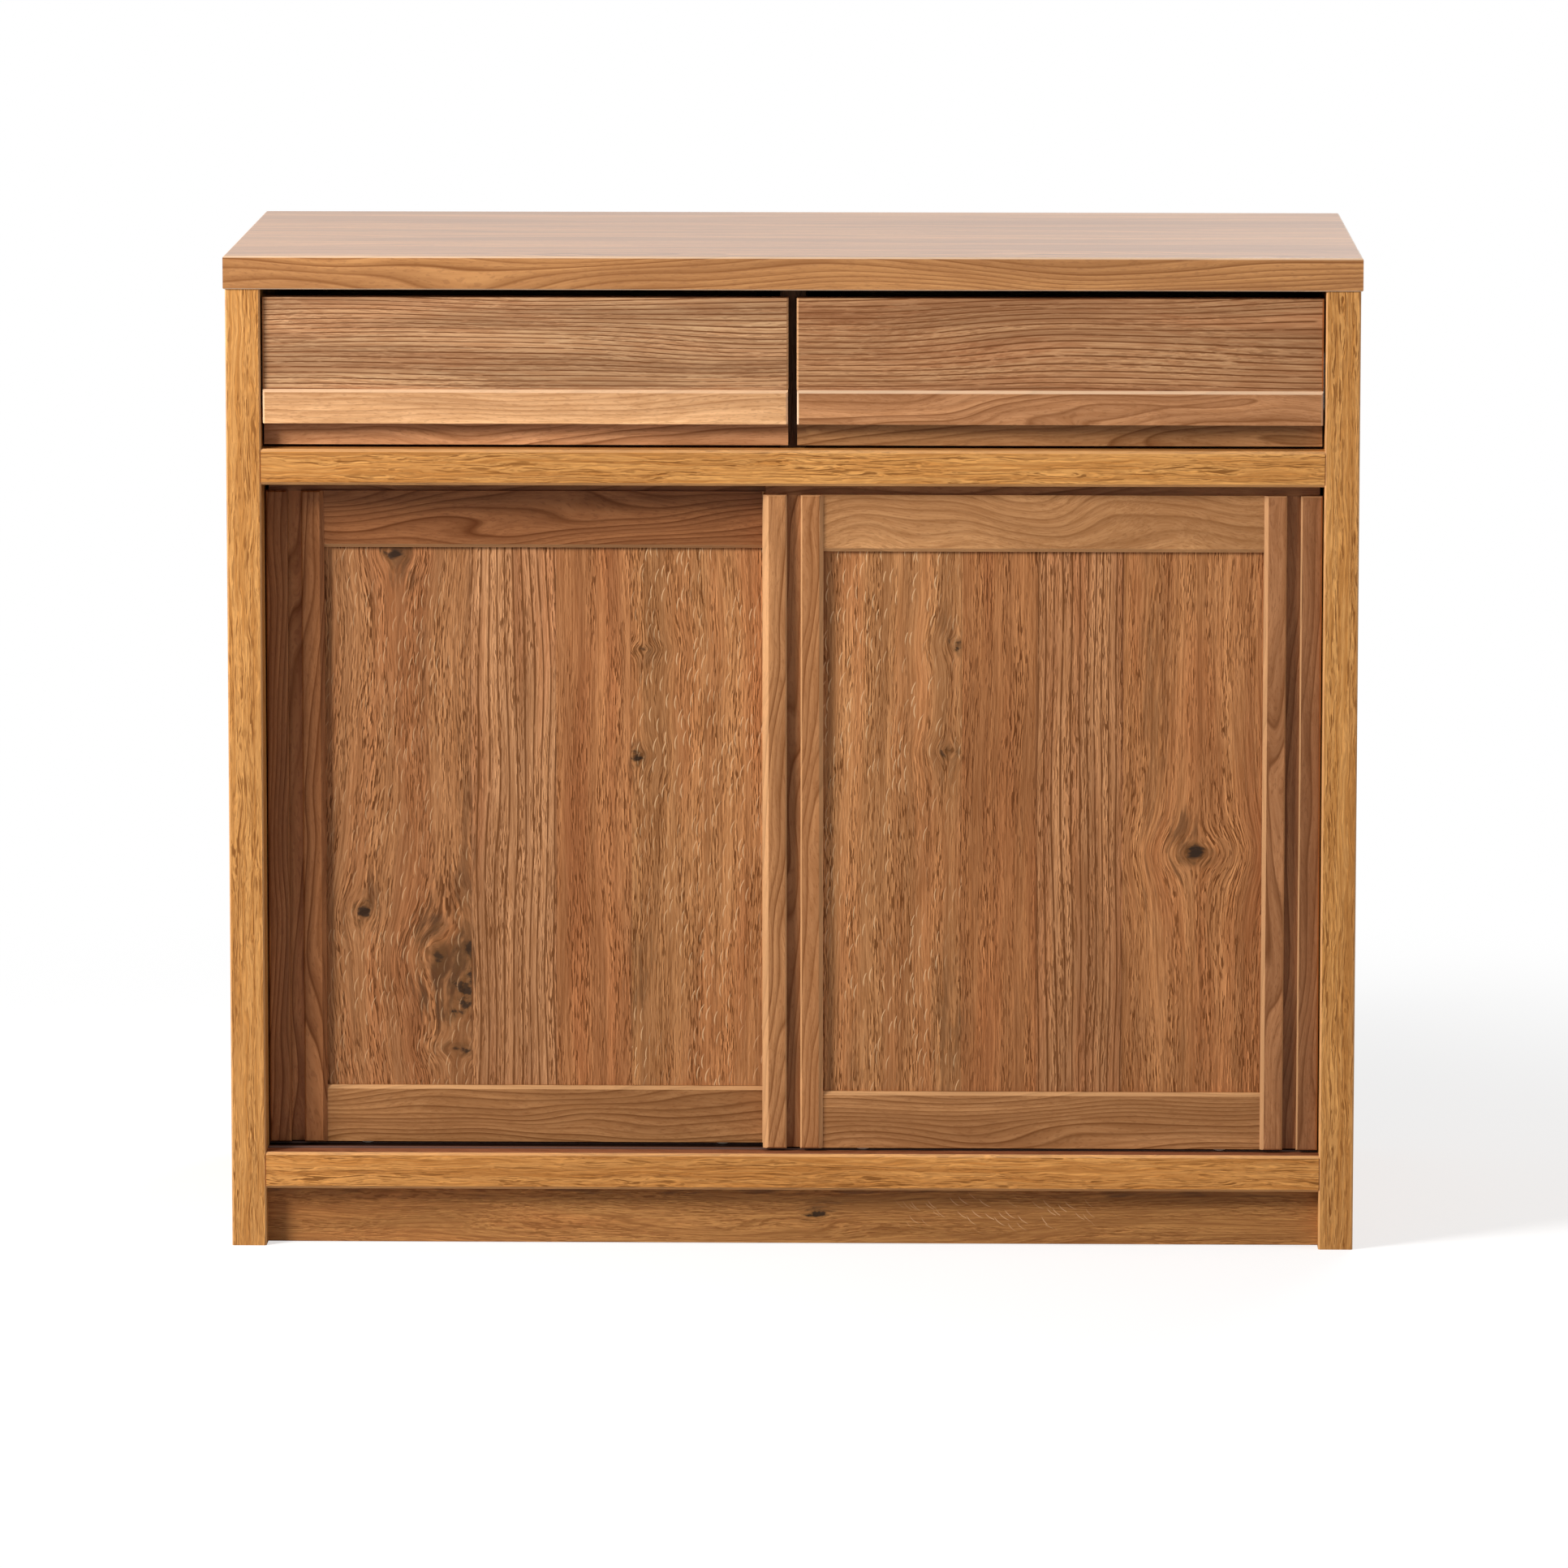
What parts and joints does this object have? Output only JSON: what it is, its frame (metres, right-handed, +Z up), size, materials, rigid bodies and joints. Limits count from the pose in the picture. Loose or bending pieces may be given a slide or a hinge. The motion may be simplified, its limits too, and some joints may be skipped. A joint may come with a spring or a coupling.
{
  "type": "kitchen counter cabinet",
  "caption": "Free-standing oak kitchen counter cabinet: slab top, side by side drawers with pull bars, bypass sliding doors below, kick board and adjustable shelves.",
  "frame": {"origin": "on the floor under the middle of the cabinet", "axes": "+Z up, -Y out of the front, +X to the right seen from the front"},
  "size_m": [0.9, 0.45, 0.795],
  "materials": {
    "worktop_oak": "oak, satin lacquer",
    "golden_oak": "golden oak veneer, satin lacquer",
    "drawer_oak": "brushed oak, matt lacquer",
    "pale_oak_bar": "solid oak, satin lacquer",
    "brown_oak_bar": "solid oak, satin lacquer",
    "door_frame_oak": "solid oak, matt lacquer",
    "door_panel_oak": "oak planks, matt lacquer",
    "plinth_oak": "oak veneer, matt lacquer",
    "plain_board": "faced board, matt",
    "back_board": "faced hardboard, matt",
    "drawer_box_board": "paulownia board, bare",
    "beech_dowel": "turned, bare",
    "zinc_alloy": "die cast",
    "plated_steel": "zinc plated",
    "brown_plastic": "extruded",
    "white_nylon": "moulded"
  },
  "bodies": {
    "carcass": {"top_slab": "worktop_oak", "side_panel_left": "golden_oak", "side_panel_right": "golden_oak", "mid_rail": "golden_oak", "bottom_rail": "golden_oak", "kick_board": "plinth_oak", "rear_kick_board": "plain_board", "rear_top_rail": "plain_board", "mid_deck": "plain_board", "bottom_deck": "plain_board", "centre_partition": "plain_board", "back_panel": "back_board", "top_guide_channels": "brown_plastic", "bottom_tracks": "brown_plastic", "dowels": "beech_dowel", "cam_fasteners": "zinc_alloy", "back_panel_screws": "plated_steel", "shelf_pins": "plated_steel", "cabinet_slides_left": "plated_steel", "cabinet_slides_right": "plated_steel", "drawer_divider": "plain_board"},
    "drawer_left": {"drawer_left_face": "drawer_oak", "drawer_left_pull_bar": "pale_oak_bar", "drawer_left_lower_strip": "drawer_oak", "drawer_left_box_front": "drawer_box_board", "drawer_left_box_sides": "drawer_box_board", "drawer_left_box_back": "drawer_box_board", "drawer_left_box_bottom": "drawer_box_board", "drawer_left_slides": "plated_steel"},
    "middle_slides_left": {"middle_slides_left": "plated_steel"},
    "door_left": {"door_left_outer_stile": "door_frame_oak", "door_left_meeting_stile": "door_frame_oak", "door_left_top_rail": "door_frame_oak", "door_left_bottom_rail": "door_frame_oak", "door_left_panel": "door_panel_oak", "door_left_top_guides": "brown_plastic", "door_left_rollers": "brown_plastic"},
    "door_left_outer_wheel": {"door_left_outer_wheel": "white_nylon"},
    "door_left_meeting_wheel": {"door_left_meeting_wheel": "white_nylon"},
    "shelf_left": {"shelf_left": "plain_board"},
    "drawer_right": {"drawer_right_face": "drawer_oak", "drawer_right_pull_bar": "brown_oak_bar", "drawer_right_lower_strip": "drawer_oak", "drawer_right_box_front": "drawer_box_board", "drawer_right_box_sides": "drawer_box_board", "drawer_right_box_back": "drawer_box_board", "drawer_right_box_bottom": "drawer_box_board", "drawer_right_slides": "plated_steel"},
    "middle_slides_right": {"middle_slides_right": "plated_steel"},
    "door_right": {"door_right_outer_stile": "door_frame_oak", "door_right_meeting_stile": "door_frame_oak", "door_right_top_rail": "door_frame_oak", "door_right_bottom_rail": "door_frame_oak", "door_right_panel": "door_panel_oak", "door_right_top_guides": "brown_plastic", "door_right_rollers": "brown_plastic"},
    "door_right_outer_wheel": {"door_right_outer_wheel": "white_nylon"},
    "door_right_meeting_wheel": {"door_right_meeting_wheel": "white_nylon"},
    "shelf_right": {"shelf_right": "plain_board"}
  },
  "joints": [
    {"name": "drawer_right_slide", "type": "slide", "parent": "carcass", "child": "drawer_right", "axis": [0, -1, 0], "range_m": [0, 0.36]},
    {"name": "middle_slides_right_travel", "type": "slide", "parent": "carcass", "child": "middle_slides_right", "axis": [0, -1, 0], "range_m": [0, 0.18]},
    {"name": "door_right_slide", "type": "slide", "parent": "carcass", "child": "door_right", "axis": [-1, 0, 0], "range_m": [0, 0.3965]},
    {"name": "door_right_outer_wheel_spin", "type": "hinge", "parent": "door_right", "child": "door_right_outer_wheel", "pos_m": [0.342, -0.201, 0.0865], "axis": [0, 1, 0], "continuous": true},
    {"name": "door_right_meeting_wheel_spin", "type": "hinge", "parent": "door_right", "child": "door_right_meeting_wheel", "pos_m": [0.0565, -0.201, 0.0865], "axis": [0, 1, 0], "continuous": true},
    {"name": "shelf_right_lift", "type": "slide", "parent": "carcass", "child": "shelf_right", "axis": [0, 0, 1], "range_m": [0, 0.04]},
    {"name": "drawer_left_slide", "type": "slide", "parent": "carcass", "child": "drawer_left", "axis": [0, -1, 0], "range_m": [0, 0.36]},
    {"name": "middle_slides_left_travel", "type": "slide", "parent": "carcass", "child": "middle_slides_left", "axis": [0, -1, 0], "range_m": [0, 0.18]},
    {"name": "door_left_slide", "type": "slide", "parent": "carcass", "child": "door_left", "axis": [1, 0, 0], "range_m": [0, 0.3965]},
    {"name": "door_left_outer_wheel_spin", "type": "hinge", "parent": "door_left", "child": "door_left_outer_wheel", "pos_m": [-0.342, -0.179, 0.0865], "axis": [0, 1, 0], "continuous": true},
    {"name": "door_left_meeting_wheel_spin", "type": "hinge", "parent": "door_left", "child": "door_left_meeting_wheel", "pos_m": [-0.0565, -0.179, 0.0865], "axis": [0, 1, 0], "continuous": true},
    {"name": "shelf_left_lift", "type": "slide", "parent": "carcass", "child": "shelf_left", "axis": [0, 0, 1], "range_m": [0, 0.04]}
  ],
  "couplings": [
    {"joint": "middle_slides_right_travel", "follows": "drawer_right_slide", "ratio": 0.5},
    {"joint": "door_right_outer_wheel_spin", "follows": "door_right_slide", "rad_per_m": -111.11},
    {"joint": "door_right_meeting_wheel_spin", "follows": "door_right_slide", "rad_per_m": -111.11},
    {"joint": "middle_slides_left_travel", "follows": "drawer_left_slide", "ratio": 0.5},
    {"joint": "door_left_outer_wheel_spin", "follows": "door_left_slide", "rad_per_m": 111.11},
    {"joint": "door_left_meeting_wheel_spin", "follows": "door_left_slide", "rad_per_m": 111.11}
  ]
}
